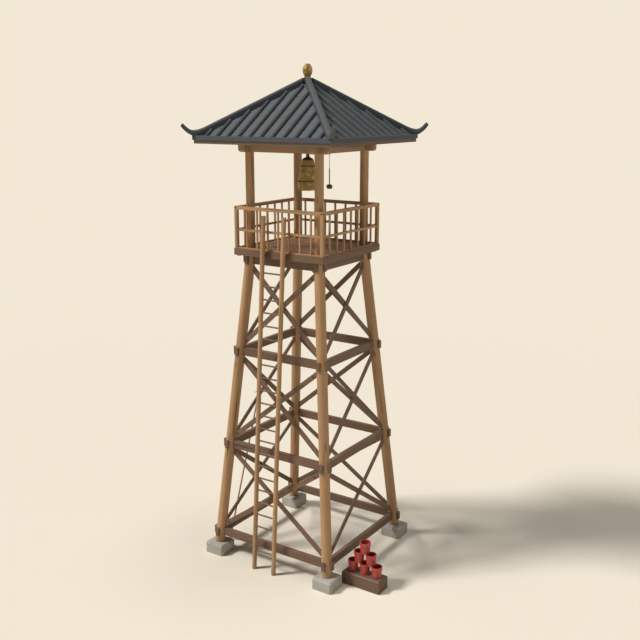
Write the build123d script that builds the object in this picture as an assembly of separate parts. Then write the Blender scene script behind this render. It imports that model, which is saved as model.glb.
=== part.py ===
"""A timber fire lookout tower with a tiled roof, a hanging bell and a ladder.

Lengths are in millimetres. The origin is on the ground, on the tower's own axis.
+Z is up, the ladder stands on the -Y side, and +X is to the right of it.
"""
import os
from math import sqrt

from build123d import *

os.makedirs("parts", exist_ok=True)

# ---------------------------------------------------------------- driving sizes
# Footings and legs. A half spread is from the tower's axis to a leg's axis, and the
# inset is from the platform's side to the leg's axis at the top.
footing_width = 515
footing_height = 270
footing_bevel = 30
leg_diameter = 240
leg_half_spread_ground = 1603
leg_inset = 270

# Girts: the level beams that pass through the legs.
girt_height = 190
girt_thickness = 90
girt_overhang = 170
girt_end_chamfer = 30
low_girt_centres = [545, 2805, 5100]

# Braces: the diagonal bars of each panel.
brace_width = 115
brace_thickness = 26
brace_end_offset = 15

# Platform
platform_top = 7540
platform_half_width = 1220
edge_height = 150
edge_thickness = 50
deck_thickness = 40
joist_width = 70
joist_count = 5
joist_drop = 25

# Railing
railing_height = 965
railing_inset = 15
rail_size = 75
mid_rail_size = 50
mid_rail_height = 428
sill_width = 55
sill_height = 32
baluster_size = 36
baluster_count = 7

# Roof posts and the plate beams on them
post_diameter = 200
post_inset = 280
post_height = 2170
plate_height = 190
plate_width = 120
plate_overhang = 280
plate_end_radius = 60

# Roof
eave_board_inset = 25
eave_board_thickness = 80
roof_half_width = 1837
roof_edge_height = 95
roof_foot_inset = 118
roof_rise = 1170
roof_thickness = 160
rib_count = 11
rib_corner_gap = 229
rib_diameter = 92
rib_raise = 14
rib_top_gap = 105
ridge_width = 140
ridge_height = 130
ridge_round = 55
ridge_top_upward = 0.8
horn_start = 240
horn_lift = 20
horn_flat = 90
horn_dip = 9
horn_reach = 175
horn_rise = 265
horn_thickness = 75
horn_tip_width = 62
finial_base_width = 170
finial_collar_diameter = 150
finial_collar_height = 40
finial_diameter = 220
finial_neck_diameter = 144
finial_lower_height = 125
finial_upper_height = 145

# Bell, and the iron bracket that it hangs from
bell_beam_width = 110
bell_beam_height = 150
bell_mouth_radius = 264
bell_shoulder_radius = 140
bell_side_height = 674
bell_dome_height = 72
bell_wall = 26
bell_band_height = 24
bell_band_relief = 9
bell_upper_band = 545
bell_lower_band = 205
bell_boss_height = 430
bell_boss_diameter = 34
bell_boss_relief = 14
bell_boss_count = 8
lug_thickness = 36
lug_base_width = 110
lug_eye_radius = 25
bell_drop = 107
bell_pin_drop = 60
pin_diameter = 20
pin_clearance = 1
pin_end_length = 12
cheek_thickness = 12
cheek_width = 56
cheek_gap = 6
plate_iron_thickness = 12
bracket_plate_length = 150

# Striker: a mallet on a cord beside the bell
striker_offset = 590
striker_pin_diameter = 12
striker_pin_drop = 50
striker_pin_end_length = 8
striker_eye_radius = 18
striker_eye_thickness = 18
striker_neck_length = 32
striker_neck_diameter = 16
striker_cheek_width = 36
striker_cheek_thickness = 8
striker_cheek_gap = 5
striker_plate_length = 90
cord_diameter = 12
cord_length = 330
handle_diameter = 24
handle_length = 455
mallet_diameter = 100
mallet_length = 120
mallet_end_radius = 22
mallet_handle_stub = 5

# Ladder
ladder_rail_diameter = 105
ladder_rail_spacing = 560
ladder_centre_x = -45
ladder_foot_y = -1830
ladder_standoff = 108
ladder_height = 8340
rung_diameter = 39
rung_count = 23
rung_spacing = 300
first_rung_height = 480
ladder_cleat_width = 70
ladder_cleat_height = 90

# Fire gear that stands beside the tower
bench_length = 985
bench_depth = 395
bench_height = 310
bench_bevel = 30
bench_lap = 83
bench_back_gap = 90
bucket_rim_diameter = 255
bucket_base_diameter = 212
bucket_height = 258
bucket_wall = 10
bucket_base_thickness = 12
bucket_band_height = 78
bucket_band_relief = 10
bucket_spacing = 310
bucket_row_shift = 13
hook_pole_diameter = 40
hook_foot_out = 92
hook_foot_y = -1075
hook_rest_y = -434
hook_pole_length = 3950
hook_clearance = 1
hook_socket_length = 120
hook_socket_wall = 6
hook_blade_length = 190
hook_blade_drop = 70
hook_blade_width = 30
hook_blade_thickness = 10

# ---------------------------------------------------------------- derived levels
platform_underside = platform_top - edge_height
frame_top = platform_underside - joist_drop
top_girt_centre = frame_top - girt_height / 2
girt_centres = low_girt_centres + [top_girt_centre]
deck_underside = platform_top - deck_thickness
plate_bottom = platform_top + post_height
plate_top = plate_bottom + plate_height
eave_board_top = plate_top + eave_board_thickness
roof_edge_top = eave_board_top + roof_edge_height
roof_apex = roof_edge_top + roof_rise
roof_foot_half = roof_half_width - roof_foot_inset
roof_slope = roof_rise / roof_foot_half
eave_board_width = 2 * (roof_half_width - eave_board_inset)
rib_pitch = 2 * (roof_foot_half - rib_corner_gap) / (rib_count - 1)
post_half_spacing = platform_half_width - post_inset
leg_half_spread_top = platform_half_width - leg_inset
leg_lean = (leg_half_spread_ground - leg_half_spread_top) / frame_top
bell_beam_bottom = plate_top - bell_beam_height
bell_pin_height = bell_beam_bottom - bell_pin_drop
striker_pin_height = bell_beam_bottom - striker_pin_drop

written = []


def keep(shape, name):
    """Write one sub-part to its own STEP file."""
    shape.label = name
    export_step(shape, f"parts/{name}.step")
    written.append(name)


def leg_half_spread(height):
    """The distance from the tower's axis to the leg axes at a height."""
    return leg_half_spread_ground - leg_lean * height


def quarter_turns(shape):
    """Four copies of the shape, a quarter turn apart round the tower's axis."""
    return [shape.rotate(Axis.Z, turn) for turn in (0, 90, 180, 270)]


def block(x_range, y_range, z_range):
    """A box between two values on each axis."""
    size = [high - low for low, high in (x_range, y_range, z_range)]
    centre = [(high + low) / 2 for low, high in (x_range, y_range, z_range)]
    return Pos(*centre) * Box(*size)


def centred(middle, size):
    """The range of a given size about a middle value."""
    return (middle - size / 2, middle + size / 2)


def rod(start, end, radius):
    """A round bar from one point to another."""
    start, end = Vector(*start), Vector(*end)
    run = end - start
    return extrude(Plane(origin=start, z_dir=run) * Circle(radius), run.length)


def bar(start, end, width, thickness, outward):
    """A flat bar between two points, its thickness along the outward direction."""
    start, end, outward = Vector(*start), Vector(*end), Vector(*outward)
    run = end - start
    section = Plane(origin=start, x_dir=outward, z_dir=run) * Rectangle(thickness, width)
    return extrude(section, run.length)


# ---------------------------------------------------------------- frame
def crossed_beams(half_spacing, overhang, centre, height, width, finish_ends):
    """Two beams along X and two along Y, half-lapped where they cross."""
    reach = half_spacing + overhang
    z_range = (centre - height / 2, centre + height / 2)
    side = (-half_spacing - width / 2, -half_spacing + width / 2)
    plain = finish_ends(block((-reach, reach), side, z_range))
    lower, upper = plain, plain
    for cross in (-half_spacing, half_spacing):
        lap = (cross - width / 2, cross + width / 2)
        upper -= block(lap, side, (centre - height / 2, centre))
        lower -= block(lap, side, (centre, centre + height / 2))
    along_x = [upper.rotate(Axis.Z, turn) for turn in (0, 180)]
    along_y = [lower.rotate(Axis.Z, turn) for turn in (90, 270)]
    return along_x, along_y


def square_ends(beam):
    """Ends left as they are sawn."""
    return beam


def lower_end_edges(beam):
    """The two lowest edges across the ends of a beam along X."""
    return beam.edges().filter_by(Axis.Y).group_by(Axis.Z)[0]


def chamfered_ends(beam):
    """Ends cut back underneath."""
    return chamfer(lower_end_edges(beam), girt_end_chamfer)


def rounded_ends(beam):
    """Ends rounded underneath."""
    return fillet(lower_end_edges(beam), plate_end_radius)


def make_footings():
    """Four bevelled blocks, each under a leg."""
    spread = leg_half_spread(footing_height)
    footing = Pos(spread, -spread, footing_height / 2) * Box(footing_width, footing_width, footing_height)
    upper_edges = footing.edges().filter_by(Axis.Z) + footing.faces().sort_by(Axis.Z)[-1].edges()
    return quarter_turns(chamfer(upper_edges, footing_bevel))


def make_plain_legs():
    """Four round legs that lean in, without the mortises."""
    ends = []
    for height in (0, platform_top):
        spread = leg_half_spread(height)
        ends.append((spread, -spread, height))
    reach = leg_half_spread_ground + leg_diameter
    span = block((0, reach), (-reach, 0), (footing_height, frame_top))
    return quarter_turns(rod(*ends, leg_diameter / 2) & span)


def make_girts():
    """The level beams of every level, as one list along X and one along Y."""
    along_x, along_y = [], []
    for centre in girt_centres:
        ends = chamfered_ends if centre == top_girt_centre else square_ends
        pair_x, pair_y = crossed_beams(
            leg_half_spread(centre), girt_overhang, centre, girt_height, girt_thickness, ends)
        along_x += pair_x
        along_y += pair_y
    return along_x, along_y


def make_braces(plain_legs):
    """The crossed bars of one face, rising to the right outside and falling behind."""
    outward = Vector(0, -1, leg_lean).normalized()
    rising, falling = [], []
    for below, above in zip(girt_centres, girt_centres[1:]):
        low = below + girt_height / 2 + brace_end_offset
        high = above - girt_height / 2 - brace_end_offset
        for bars, hand, layer in ((rising, 1, 1), (falling, -1, -1)):
            shift = outward * (layer * brace_thickness / 2)
            start = Vector(-hand * leg_half_spread(low), -leg_half_spread(low), low) + shift
            end = Vector(hand * leg_half_spread(high), -leg_half_spread(high), high) + shift
            piece = bar(start, end, brace_width, brace_thickness, outward)
            for leg in plain_legs:
                piece -= leg
            bars.append(piece.solids().sort_by(SortBy.VOLUME)[-1])
    return rising, falling


plain_legs = make_plain_legs()
girts_x, girts_y = make_girts()
legs = []
for leg in plain_legs:
    for girt in girts_x + girts_y:
        leg -= girt
    legs.append(leg)

keep(Compound(make_footings()), "footings")
for leg, place in zip(legs, ("front_right", "back_right", "back_left", "front_left")):
    keep(leg, f"leg_{place}")
keep(Compound(girts_x), "girts_front_back")
keep(Compound(girts_y), "girts_left_right")

rising, falling = make_braces(plain_legs)
for turns, name in (((0, 180), "front_back"), ((90, 270), "left_right")):
    for bars, slope_name in ((rising, "rising"), (falling, "falling")):
        turned = [piece.rotate(Axis.Z, turn) for turn in turns for piece in bars]
        keep(Compound(turned), f"braces_{name}_{slope_name}")


# ---------------------------------------------------------------- platform
inner_half_width = platform_half_width - edge_thickness
inside = (-inner_half_width, inner_half_width)
outside = (-platform_half_width, platform_half_width)

edge = block(outside, outside, (platform_underside, platform_top))
edge -= block(inside, inside, (platform_underside, platform_top))
keep(edge, "platform_edge")
keep(block(inside, inside, (deck_underside, platform_top)), "platform_deck")

joists = []
joist_pitch = (2 * inner_half_width - joist_width) / (joist_count - 1)
for index in range(joist_count):
    left = -inner_half_width + index * joist_pitch
    joists.append(block((left, left + joist_width), inside, (frame_top, deck_underside)))
keep(Compound(joists), "platform_joists")


# ---------------------------------------------------------------- railing
rail_line = platform_half_width - railing_inset - rail_size / 2
rail_end = rail_line - rail_size / 2
rail_top = platform_top + railing_height


def make_railing_side():
    """The rails and balusters of the front side, as one flat lattice."""
    span = (-rail_end, rail_end)
    side = block(span, centred(-rail_line, rail_size), (rail_top - rail_size, rail_top))
    side += block(span, centred(-rail_line, mid_rail_size), centred(mid_rail_centre, mid_rail_size))
    side += block(span, centred(-rail_line, sill_width), (platform_top, platform_top + sill_height))
    pitch = 2 * rail_line / (baluster_count + 1)
    for index in range(1, baluster_count + 1):
        across = centred(-rail_line + index * pitch, baluster_size)
        upright = (platform_top + sill_height, rail_top - rail_size)
        side += block(across, centred(-rail_line, baluster_size), upright)
    return side


mid_rail_centre = platform_top + mid_rail_height
for side, place in zip(quarter_turns(make_railing_side()), ("front", "right", "back", "left")):
    keep(side, f"railing_{place}")
corner_post = block(
    centred(rail_line, rail_size), centred(-rail_line, rail_size), (platform_top, rail_top))
keep(Compound(quarter_turns(corner_post)), "railing_posts")


# ---------------------------------------------------------------- roof posts and plates
roof_post = rod(
    (post_half_spacing, -post_half_spacing, platform_top),
    (post_half_spacing, -post_half_spacing, plate_bottom),
    post_diameter / 2)
keep(Compound(quarter_turns(roof_post)), "roof_posts")

plates_x, plates_y = crossed_beams(
    post_half_spacing, plate_overhang, plate_bottom + plate_height / 2, plate_height, plate_width,
    rounded_ends)
keep(Compound(plates_x), "plate_beams_front_back")
keep(Compound(plates_y), "plate_beams_left_right")

plate_inner = post_half_spacing - plate_width / 2
keep(block((-plate_inner, plate_inner), centred(0, bell_beam_width), (bell_beam_bottom, plate_top)),
     "bell_beam")


# ---------------------------------------------------------------- roof
def roof_surface(half):
    """The height of a slope's upper surface at a distance out from the tower's axis."""
    return roof_edge_top + roof_slope * (roof_foot_half - half)


def make_roof_face():
    """The front slope with its level eave, cut along the hips and round the finial's base."""
    top_half = finial_base_width / 2
    bearing = roof_foot_half - (roof_thickness - roof_edge_height) / roof_slope
    outline = Polyline(
        (-roof_half_width, eave_board_top),
        (-roof_half_width, roof_edge_top),
        (-roof_foot_half, roof_edge_top),
        (-top_half, roof_surface(top_half)),
        (-top_half, roof_surface(top_half) - roof_thickness),
        (-bearing, eave_board_top),
        close=True)
    slab = extrude(Plane.YZ * make_face(outline), roof_half_width, both=True)
    wedge = Polyline(
        (0, 0), (-roof_half_width, -roof_half_width), (roof_half_width, -roof_half_width), close=True)
    return slab & extrude(make_face(wedge), roof_apex)


def make_ribs(face):
    """The rounded ribs of the front slope, from the ridges down into the level eave."""
    hip_gap = ridge_width / sqrt(2)
    reach = roof_half_width + rib_diameter
    radius = rib_diameter / 2
    between_ridges = Polyline(
        (0, -hip_gap), (-reach, -reach - hip_gap), (reach, -reach - hip_gap), close=True)
    room = extrude(make_face(between_ridges), roof_apex + rib_diameter)
    run = Vector(0, reach, roof_slope * reach)
    ribs = []
    for index in range(rib_count):
        across = (index - (rib_count - 1) / 2) * rib_pitch
        top_half = max(abs(across) + hip_gap, finial_base_width / 2 + rib_top_gap)
        start = Plane(origin=(across, -reach, roof_surface(reach)), x_dir=(1, 0, 0), z_dir=run)
        section = Pos(0, -rib_raise) * Circle(radius)
        section += Pos(0, radius / 2 - rib_raise) * Rectangle(rib_diameter, radius)
        full = extrude(start * section, run.length)
        above_eave = (roof_edge_top, roof_apex + rib_diameter)
        stretch = block(centred(across, rib_diameter), (-roof_half_width, -top_half), above_eave)
        ribs.append((full & stretch & room) - face)
    return ribs


def make_hip_ridge(faces):
    """One ridge along a hip, which curves up past the corner into a horn that narrows."""
    top_half = finial_base_width / 2
    ridge_half = ridge_width / 2
    start_half = roof_half_width - horn_start
    flat_half = roof_half_width - horn_flat
    flat_top = roof_surface(flat_half) + ridge_height + horn_lift
    tip_half = roof_half_width + horn_reach
    tip_top = roof_edge_top + horn_rise
    tip_cut = horn_thickness / 2

    def on_hip(half, height):
        return (half * sqrt(2), height)

    def is_upper_face(side):
        return side.normal_at().Z > ridge_top_upward

    def is_long_edge(edge):
        return abs(edge.center().Y) > ridge_half / 2

    inner_top = on_hip(top_half, roof_surface(top_half) + ridge_height)
    curve_start = on_hip(start_half, roof_surface(start_half) + ridge_height)
    tip_inside = on_hip(tip_half - tip_cut, tip_top)
    tip_outside = on_hip(tip_half, tip_top - tip_cut * sqrt(2))
    corner = on_hip(roof_half_width, roof_edge_top)
    upper_curve = Spline(
        curve_start,
        on_hip(flat_half, flat_top),
        on_hip(roof_half_width, flat_top - horn_dip),
        tip_inside,
        tangents=((sqrt(2), -roof_slope), (1, 1)))
    under_curve = Spline(
        tip_outside,
        on_hip(roof_half_width + horn_reach / 2, roof_edge_top + horn_thickness),
        corner)
    straight = Polyline(
        corner,
        on_hip(roof_foot_half - ridge_half, roof_edge_top),
        on_hip(top_half, roof_surface(top_half + ridge_half)),
        inner_top,
        curve_start)
    outline = [upper_curve, Line(tip_inside, tip_outside), under_curve, *straight.edges()]
    ridge = extrude(Plane.XZ * make_face(outline), ridge_half, both=True)
    top_edges = ridge.faces().filter_by(is_upper_face).edges().filter_by(is_long_edge)
    ridge = fillet(top_edges, ridge_round)
    tip_side = horn_tip_width / 2
    full_reach = roof_half_width * sqrt(2)
    tip_reach = tip_half * sqrt(2)
    plan = Polyline(
        (0, -ridge_half), (full_reach, -ridge_half), (tip_reach, -tip_side),
        (tip_reach, tip_side), (full_reach, ridge_half), (0, ridge_half), close=True)
    ridge &= extrude(make_face(plan), roof_apex + ridge_height)
    ridge = ridge.rotate(Axis.Z, -45)
    for face in faces:
        ridge -= face
    return ridge


eave_board_span = centred(0, eave_board_width)
keep(block(eave_board_span, eave_board_span, (plate_top, eave_board_top)), "eave_board")
roof_faces = quarter_turns(make_roof_face())
keep(Compound(roof_faces[0::2]), "roof_front_back")
keep(Compound(roof_faces[1::2]), "roof_left_right")
rib_sets = [[rib.rotate(Axis.Z, 90 * turn) for rib in make_ribs(roof_faces[0])] for turn in range(4)]
keep(Compound(rib_sets[0] + rib_sets[2]), "roof_ribs_front_back")
keep(Compound(rib_sets[1] + rib_sets[3]), "roof_ribs_left_right")
keep(Compound(quarter_turns(make_hip_ridge(roof_faces))), "hip_ridges")

finial_base_top = roof_surface(finial_base_width / 2) + ridge_height
finial_base_bottom = roof_surface(finial_base_width / 2) - roof_thickness
keep(block(centred(0, finial_base_width), centred(0, finial_base_width),
           (finial_base_bottom, finial_base_top)), "finial_base")


def make_finial():
    """The collar and the egg on it, as one turned piece."""
    collar_top = finial_base_top + finial_collar_height
    widest = collar_top + finial_lower_height
    radius, neck = finial_diameter / 2, finial_neck_diameter / 2
    lower_reach = finial_lower_height / sqrt(1 - (neck / radius) ** 2)
    points = [(neck, collar_top)]
    for share in (0.9, 1):
        points.append((share * radius, widest - lower_reach * sqrt(1 - share ** 2)))
    for share in (0.9, 0.6):
        points.append((share * radius, widest + finial_upper_height * sqrt(1 - share ** 2)))
    tip = (0, widest + finial_upper_height)
    foot = (0, collar_top)
    flank = Spline(*points, tip, tangents=((radius - neck, finial_lower_height), (-1, 0)))
    egg = make_face([flank, Line(tip, foot), Line(foot, points[0])])
    collar = Pos(0, 0, finial_base_top + finial_collar_height / 2) * Cylinder(
        finial_collar_diameter / 2, finial_collar_height)
    return revolve(Plane.XZ * egg, Axis.Z) + collar


keep(make_finial(), "finial")


# ---------------------------------------------------------------- bell
def make_bell():
    """The bell from its mouth to the eye of its crown lug, about the tower's axis."""
    dome_top = bell_pin_height - bell_drop
    mouth = dome_top - bell_dome_height - bell_side_height

    def shell(mouth_radius, shoulder_radius, low, shoulder, crown):
        rise = crown - shoulder
        dome_radius = (shoulder_radius**2 + rise**2) / (2 * rise)
        dome = RadiusArc((shoulder_radius, shoulder), (0, crown), -dome_radius)
        side = Line((mouth_radius, low), (shoulder_radius, shoulder))
        floor = Line((0, low), (mouth_radius, low))
        axis = Line((0, crown), (0, low))
        return revolve(Plane.XZ * make_face([floor, side, dome, axis]), Axis.Z)

    def radius_at(rise):
        share = rise / bell_side_height
        return bell_mouth_radius + (bell_shoulder_radius - bell_mouth_radius) * share

    shoulder = mouth + bell_side_height
    body = shell(bell_mouth_radius, bell_shoulder_radius, mouth, shoulder, dome_top)
    for rise in (bell_upper_band, bell_lower_band):
        body += Pos(0, 0, mouth + rise) * Cylinder(radius_at(rise) + bell_band_relief, bell_band_height)
    for index in range(bell_boss_count):
        reach = radius_at(bell_boss_height) + bell_boss_relief
        level = mouth + bell_boss_height
        boss = rod((0, 0, level), (reach, 0, level), bell_boss_diameter / 2)
        body += boss.rotate(Axis.Z, index * 360 / bell_boss_count)
    lug = make_hull([
        *(Pos(0, bell_pin_height) * Circle(lug_eye_radius)).edges(),
        *(Pos(0, dome_top - bell_wall) * Rectangle(lug_base_width, lug_thickness)).edges()])
    body += extrude(Plane.YZ * lug, lug_thickness / 2, both=True)
    body -= shell(
        bell_mouth_radius - bell_wall, bell_shoulder_radius - bell_wall, mouth, shoulder,
        dome_top - bell_wall)
    bore = pin_diameter / 2 + pin_clearance
    return body - rod((-lug_thickness, 0, bell_pin_height), (lug_thickness, 0, bell_pin_height), bore)


def make_pin(length, radius):
    """A round pin along X with its middle at the origin."""
    return rod((-length / 2, 0, 0), (length / 2, 0, 0), radius)


def make_clevis(gap, width, thickness, plate_length, drop, pin_radius):
    """A plate under the bell beam with two cheeks and a bore, its pin along X at the origin."""
    outside_width = gap + 2 * thickness
    plate_bottom_edge = drop - plate_iron_thickness
    plate = block(centred(0, plate_length), centred(0, bell_beam_width), (plate_bottom_edge, drop))
    cheek_face = make_hull([
        *Circle(width / 2).edges(),
        *(Pos(0, drop - plate_iron_thickness / 2) * Rectangle(width, plate_iron_thickness)).edges()])
    cheeks = extrude(Plane.YZ * cheek_face, outside_width / 2, both=True)
    cheeks -= block(centred(0, gap), centred(0, width), (-width, drop))
    return plate + (cheeks - make_pin(2 * outside_width, pin_radius))


bell_place = Pos(0, 0, bell_pin_height)
bell_cheek_space = lug_thickness + 2 * cheek_gap
keep(make_bell(), "bell")
keep(bell_place * make_clevis(
    bell_cheek_space, cheek_width, cheek_thickness, bracket_plate_length,
    bell_beam_bottom - bell_pin_height, pin_diameter / 2), "bell_bracket")
bell_pin_length = bell_cheek_space + 2 * (cheek_thickness + pin_end_length)
keep(bell_place * make_pin(bell_pin_length, pin_diameter / 2), "bell_pin")


# ---------------------------------------------------------------- striker
striker_place = Pos(striker_offset, 0, striker_pin_height) * Rot(0, 0, 90)
striker_cheek_space = striker_eye_thickness + 2 * striker_cheek_gap
keep(striker_place * make_clevis(
    striker_cheek_space, striker_cheek_width, striker_cheek_thickness, striker_plate_length,
    bell_beam_bottom - striker_pin_height, striker_pin_diameter / 2), "striker_bracket")
striker_pin_length = striker_cheek_space + 2 * (striker_cheek_thickness + striker_pin_end_length)
keep(striker_place * make_pin(striker_pin_length, striker_pin_diameter / 2), "striker_pin")

cord_top = striker_pin_height - striker_neck_length
cord_bottom = cord_top - cord_length
handle_bottom = cord_bottom - handle_length
mallet_centre = handle_bottom + mallet_handle_stub + mallet_diameter / 2

eye = striker_place * extrude(Plane.YZ * Circle(striker_eye_radius), striker_eye_thickness / 2, both=True)
eye += rod((striker_offset, 0, cord_top), (striker_offset, 0, striker_pin_height), striker_neck_diameter / 2)
eye -= striker_place * make_pin(2 * striker_eye_thickness, striker_pin_diameter / 2 + pin_clearance)
keep(eye, "striker_eye")
keep(rod((striker_offset, 0, cord_bottom), (striker_offset, 0, cord_top), cord_diameter / 2),
     "striker_cord")
handle = rod((striker_offset, 0, handle_bottom), (striker_offset, 0, cord_bottom), handle_diameter / 2)
keep(handle, "mallet_handle")
mallet = make_pin(mallet_length, mallet_diameter / 2)
mallet = fillet(mallet.edges().filter_by(GeomType.CIRCLE), mallet_end_radius)
mallet = Pos(striker_offset, 0, mallet_centre) * mallet
keep(mallet - handle, "mallet_head")


# ---------------------------------------------------------------- ladder
cleat_height = platform_top - edge_height / 2
ladder_lean = (-platform_half_width - ladder_standoff - ladder_foot_y) / cleat_height


def ladder_y(height):
    """Where the ladder's axis is at a height."""
    return ladder_foot_y + ladder_lean * height


above_ground = block(
    centred(ladder_centre_x, 2 * ladder_rail_spacing), (ladder_foot_y - ladder_rail_diameter, 0),
    (0, ladder_height))
ladder_rails = []
for side in (-1, 1):
    across = ladder_centre_x + side * ladder_rail_spacing / 2
    start = (across, ladder_y(-ladder_rail_diameter), -ladder_rail_diameter)
    end = (across, ladder_y(ladder_height + ladder_rail_diameter), ladder_height + ladder_rail_diameter)
    ladder_rails.append(rod(start, end, ladder_rail_diameter / 2) & above_ground)

rungs = []
for index in range(rung_count):
    height = first_rung_height + index * rung_spacing
    ends = [(ladder_centre_x + side * ladder_rail_spacing / 2, ladder_y(height), height) for side in (-1, 1)]
    rung = rod(*ends, rung_diameter / 2)
    for rail in ladder_rails:
        rung -= rail
    rungs.append(rung)

cleats = []
for rail, side in zip(ladder_rails, (-1, 1)):
    across = centred(ladder_centre_x + side * ladder_rail_spacing / 2, ladder_cleat_width)
    cleat = block(
        across, (ladder_y(cleat_height), -platform_half_width), centred(cleat_height, ladder_cleat_height))
    cleats.append(cleat - rail)
keep(Compound(ladder_rails), "ladder_rails")
keep(Compound(rungs), "ladder_rungs")
keep(Compound(cleats), "ladder_cleats")


# ---------------------------------------------------------------- fire gear
def make_bucket():
    """An open bucket that flares to its rim, thicker in its upper band, standing at the origin."""
    base_radius = bucket_base_diameter / 2
    rim_radius = bucket_rim_diameter / 2 - bucket_band_relief
    flare = (rim_radius - base_radius) / bucket_height

    def cone(low, high, offset):
        radii = [base_radius + flare * height + offset for height in (low, high)]
        return Pos(0, 0, low) * Cone(
            *radii, high - low, align=(Align.CENTER, Align.CENTER, Align.MIN))

    band_bottom = bucket_height - bucket_band_height
    body = cone(0, band_bottom, 0) + cone(band_bottom, bucket_height, bucket_band_relief)
    return body - cone(bucket_base_thickness, bucket_height, -bucket_wall)


footing_centre = leg_half_spread(footing_height)
bench_centre_x = footing_centre + (footing_width + bench_length) / 2 - bench_lap
bench_centre_y = -footing_centre + (footing_width + bench_depth) / 2 + bench_back_gap
bench = block(
    centred(bench_centre_x, bench_length), centred(bench_centre_y, bench_depth), (0, bench_height))
keep(chamfer(bench.faces().sort_by(Axis.Z)[-1].edges(), bench_bevel), "bucket_bench")
for row, name in enumerate(("buckets_bottom_row", "buckets_middle_row", "bucket_top")):
    count = 3 - row
    level = bench_height + row * bucket_height
    row_of_buckets = []
    for index in range(count):
        across = bench_centre_x + bucket_row_shift + (index - (count - 1) / 2) * bucket_spacing
        row_of_buckets.append(Pos(across, bench_centre_y, level) * make_bucket())
    keep(Compound(row_of_buckets), name)

rest_height = girt_centres[1] + girt_height / 2
rest_x = -(leg_half_spread(girt_centres[1]) + girt_thickness / 2 + hook_pole_diameter / 2 + hook_clearance)
hook_foot = Vector(-leg_half_spread_ground - hook_foot_out, hook_foot_y, 0)
hook_rest = Vector(rest_x, hook_rest_y, rest_height)
hook_along = (hook_rest - hook_foot).normalized()
pole_start = hook_foot - hook_along * hook_pole_diameter
pole_end = hook_foot + hook_along * hook_pole_length
pole = rod(pole_start, pole_end, hook_pole_diameter / 2)
pole -= block(centred(hook_foot.X, platform_half_width), centred(hook_foot.Y, platform_half_width),
              (-platform_half_width, 0))
keep(pole, "fire_hook_pole")

hook_plane = Plane(origin=pole_end, x_dir=(0, -1, 0), z_dir=hook_along)
socket_radius = hook_pole_diameter / 2 + hook_socket_wall
hook_head = extrude(hook_plane * Circle(socket_radius), -hook_socket_length)
hook_head += extrude(hook_plane * Circle(socket_radius), hook_socket_wall)
hook_head -= pole
blade = Polyline(
    (0, 0), (hook_blade_length, -hook_blade_drop), (socket_radius, -hook_blade_width - hook_socket_wall),
    (0, -hook_blade_width - hook_socket_wall), close=True)
blade_plane = Plane(
    origin=pole_end + hook_along * hook_socket_wall, x_dir=hook_plane.x_dir,
    z_dir=hook_plane.x_dir.cross(hook_along))
hook_head += extrude(blade_plane * make_face(blade), hook_blade_thickness / 2, both=True) - pole
keep(hook_head, "fire_hook_head")

print(len(written), "sub-parts")
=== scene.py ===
# %% [markdown]
# # A timber fire lookout tower
# This lesson dresses a tower that is already built to size. Four round legs lean in
# under a railed deck, a tiled roof shelters a bronze bell, and a ladder climbs the front.
# Each solid part is loaded as it stands and given its finish. What repeats, such as
# deck boards, tile courses, bolts and pegs, is made here.

# %% Load the tower
from math import cos, pi, radians, sin

import bpy
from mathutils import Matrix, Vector


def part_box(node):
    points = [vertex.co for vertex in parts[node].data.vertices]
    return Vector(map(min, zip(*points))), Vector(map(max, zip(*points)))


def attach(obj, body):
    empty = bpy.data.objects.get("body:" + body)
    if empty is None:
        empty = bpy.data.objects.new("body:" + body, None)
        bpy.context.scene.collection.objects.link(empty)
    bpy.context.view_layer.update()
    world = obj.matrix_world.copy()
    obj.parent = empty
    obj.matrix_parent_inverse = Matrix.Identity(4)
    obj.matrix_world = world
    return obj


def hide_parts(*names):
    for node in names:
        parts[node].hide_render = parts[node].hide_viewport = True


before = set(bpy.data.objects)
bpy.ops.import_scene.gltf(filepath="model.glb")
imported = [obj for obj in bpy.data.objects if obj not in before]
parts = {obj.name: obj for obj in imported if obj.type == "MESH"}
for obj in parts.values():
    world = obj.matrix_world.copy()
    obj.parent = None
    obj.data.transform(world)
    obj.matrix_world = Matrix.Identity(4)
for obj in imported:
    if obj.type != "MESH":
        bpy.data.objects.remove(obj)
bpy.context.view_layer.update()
scene = bpy.context.scene

# %% [markdown]
# ## Camera
# The camera stands off one corner, a little above the eaves, so that the ladder side and
# the side with the buckets both show. The lens is a plain 50 mm.

# %% Place the camera
camera_tilt, camera_turn = radians(76.4055), radians(33.65)
scene.view_settings.view_transform = "Standard"
camera = bpy.data.objects.new("camera", bpy.data.cameras.new("camera"))
scene.collection.objects.link(camera)
camera.location = (11.575, -16.887, 10.711)
camera.rotation_euler = (camera_tilt, 0, camera_turn)
camera.data.sensor_width = 36
camera.data.lens = 49.82
camera.data.clip_end = 500
scene.camera = camera
print("camera stands", round(camera.location.xy.length, 1), "m from the tower's axis")

# %% [markdown]
# ## Striking cord
# The bell is struck with a mallet that hangs on a straw cord. The cord could be a plain
# cylinder, but a curve keeps its true line and lets the twist follow it. Its points stand
# in a straight drop, because the mallet's weight pulls it tight.

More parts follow.
